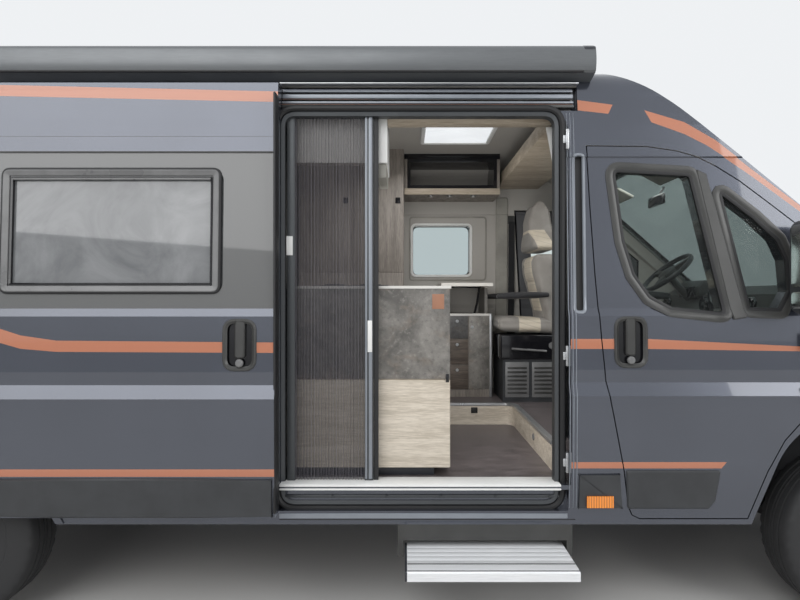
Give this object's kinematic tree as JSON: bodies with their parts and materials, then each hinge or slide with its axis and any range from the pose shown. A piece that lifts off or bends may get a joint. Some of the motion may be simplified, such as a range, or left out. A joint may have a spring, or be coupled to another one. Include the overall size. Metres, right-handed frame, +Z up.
{
  "type": "camper van",
  "caption": "Long high-roof camper van in dark blue-grey with copper stripes, side door slid open on a fitted kitchen and lounge, roof-edge awning and slide-out step.",
  "frame": {"origin": "on the ground below the middle of the van's box", "axes": "+X forward, +Y to the van's left, +Z up"},
  "size_m": [6.001, 2.508, 2.595],
  "materials": {
    "body_paint": "metallic",
    "tyre": "matt",
    "wheel_alloy": "satin",
    "glass": "tinted",
    "lamp_lens": "clear",
    "red_lens": "gloss",
    "amber_lens": "gloss",
    "black_plastic": "matt",
    "floor_vinyl": "satin",
    "chassis_steel": "satin",
    "cast_block": "rough",
    "exhaust_steel": "dull",
    "awning_grey": "satin",
    "roof_light": "gloss",
    "aluminium": "satin",
    "kitchen_laminate": "satin",
    "white_laminate": "satin",
    "taupe_wood": "satin",
    "upholstery": "woven"
  },
  "bodies": {
    "van_body": {"side_right": "body_paint", "side_left": "body_paint", "roof": "body_paint", "fixed_glass": "glass", "sliding_door": "body_paint", "wings": "body_paint", "head_lamps": "lamp_lens", "front_bumper": "black_plastic", "front_panel": "body_paint", "grille": "black_plastic", "scuttle": "black_plastic", "floor_pan": "floor_vinyl", "wheel_housings": "black_plastic", "chassis_frame": "chassis_steel", "engine": "cast_block", "front_subframe": "chassis_steel", "rear_axle": "chassis_steel", "tanks": "black_plastic", "exhaust": "exhaust_steel", "rear_bumper": "black_plastic", "tail_lamps": "red_lens", "marker_lamps": "amber_lens", "awning": "awning_grey", "roof_lights": "roof_light", "step_housing": "aluminium", "lounge_platform": "floor_vinyl", "kitchen_unit": "kitchen_laminate", "worktop": "white_laminate", "far_cabinets": "taupe_wood", "table": "taupe_wood", "overhead_lockers": "taupe_wood", "mattress": "upholstery", "seat_driver": "upholstery", "seat_passenger": "upholstery", "seat_bases": "black_plastic", "dashboard": "black_plastic", "fly_screen": "aluminium"},
    "door_front_right": {"door_front_right": "body_paint", "door_glass_right": "glass", "mirror_right": "black_plastic"},
    "door_front_left": {"door_front_left": "body_paint", "door_glass_left": "glass", "mirror_left": "black_plastic"},
    "rear_door_right": {"rear_door_right": "body_paint", "rear_glass_right": "glass"},
    "rear_door_left": {"rear_door_left": "body_paint", "rear_glass_left": "glass"},
    "bonnet": {"bonnet": "body_paint"},
    "step": {"step_tread": "aluminium"},
    "knuckle_right": {"knuckle_right": "chassis_steel"},
    "knuckle_left": {"knuckle_left": "chassis_steel"},
    "steering_wheel": {"steering_wheel": "black_plastic"},
    "wheel_front_right": {"tyre_front_right": "tyre", "rim_front_right": "wheel_alloy"},
    "wheel_front_left": {"tyre_front_left": "tyre", "rim_front_left": "wheel_alloy"},
    "wheel_rear_right": {"tyre_rear_right": "tyre", "rim_rear_right": "wheel_alloy"},
    "wheel_rear_left": {"tyre_rear_left": "tyre", "rim_rear_left": "wheel_alloy"}
  },
  "joints": [
    {"name": "door_front_right_hinge", "type": "hinge", "parent": "van_body", "child": "door_front_right", "pos_m": [1.8, -1.03, 1.2], "axis": [0, 0, 1], "range_deg": [0, 70]},
    {"name": "door_front_left_hinge", "type": "hinge", "parent": "van_body", "child": "door_front_left", "pos_m": [1.8, 1.03, 1.2], "axis": [0, 0, -1], "range_deg": [0, 70]},
    {"name": "rear_door_right_hinge", "type": "hinge", "parent": "van_body", "child": "rear_door_right", "pos_m": [-2.99, -0.935, 1.5], "axis": [0, 0, 1], "range_deg": [0, 180]},
    {"name": "rear_door_left_hinge", "type": "hinge", "parent": "van_body", "child": "rear_door_left", "pos_m": [-2.99, 0.935, 1.5], "axis": [0, 0, -1], "range_deg": [0, 180]},
    {"name": "bonnet_hinge", "type": "hinge", "parent": "van_body", "child": "bonnet", "pos_m": [2.582, 0, 1.33], "axis": [0, -1, 0], "range_deg": [0, 50]},
    {"name": "step_slide", "type": "slide", "parent": "van_body", "child": "step", "axis": [0, 1, 0], "range_m": [0, 0.25]},
    {"name": "steer_right", "type": "hinge", "parent": "van_body", "child": "knuckle_right", "pos_m": [2.051, -0.79, 0.372], "axis": [0, 0, 1], "range_deg": [-35, 35]},
    {"name": "steer_left", "type": "hinge", "parent": "van_body", "child": "knuckle_left", "pos_m": [2.051, 0.79, 0.372], "axis": [0, 0, 1], "range_deg": [-35, 35]},
    {"name": "steering_wheel_turn", "type": "hinge", "parent": "van_body", "child": "steering_wheel", "pos_m": [1.8, 0.45, 1.6], "axis": [-0.6428, 0, 0.766], "range_deg": [-525, 525]},
    {"name": "wheel_front_right_spin", "type": "hinge", "parent": "knuckle_right", "child": "wheel_front_right", "pos_m": [2.051, -0.905, 0.372], "axis": [0, 1, 0], "continuous": true},
    {"name": "wheel_front_left_spin", "type": "hinge", "parent": "knuckle_left", "child": "wheel_front_left", "pos_m": [2.051, 0.905, 0.372], "axis": [0, 1, 0], "continuous": true},
    {"name": "wheel_rear_right_spin", "type": "hinge", "parent": "van_body", "child": "wheel_rear_right", "pos_m": [-1.984, -0.895, 0.372], "axis": [0, 1, 0], "continuous": true},
    {"name": "wheel_rear_left_spin", "type": "hinge", "parent": "van_body", "child": "wheel_rear_left", "pos_m": [-1.984, 0.895, 0.372], "axis": [0, 1, 0], "continuous": true}
  ],
  "couplings": [
    {"joint": "steer_left", "follows": "steer_right", "ratio": 1},
    {"joint": "steering_wheel_turn", "follows": "steer_right", "ratio": 15}
  ]
}
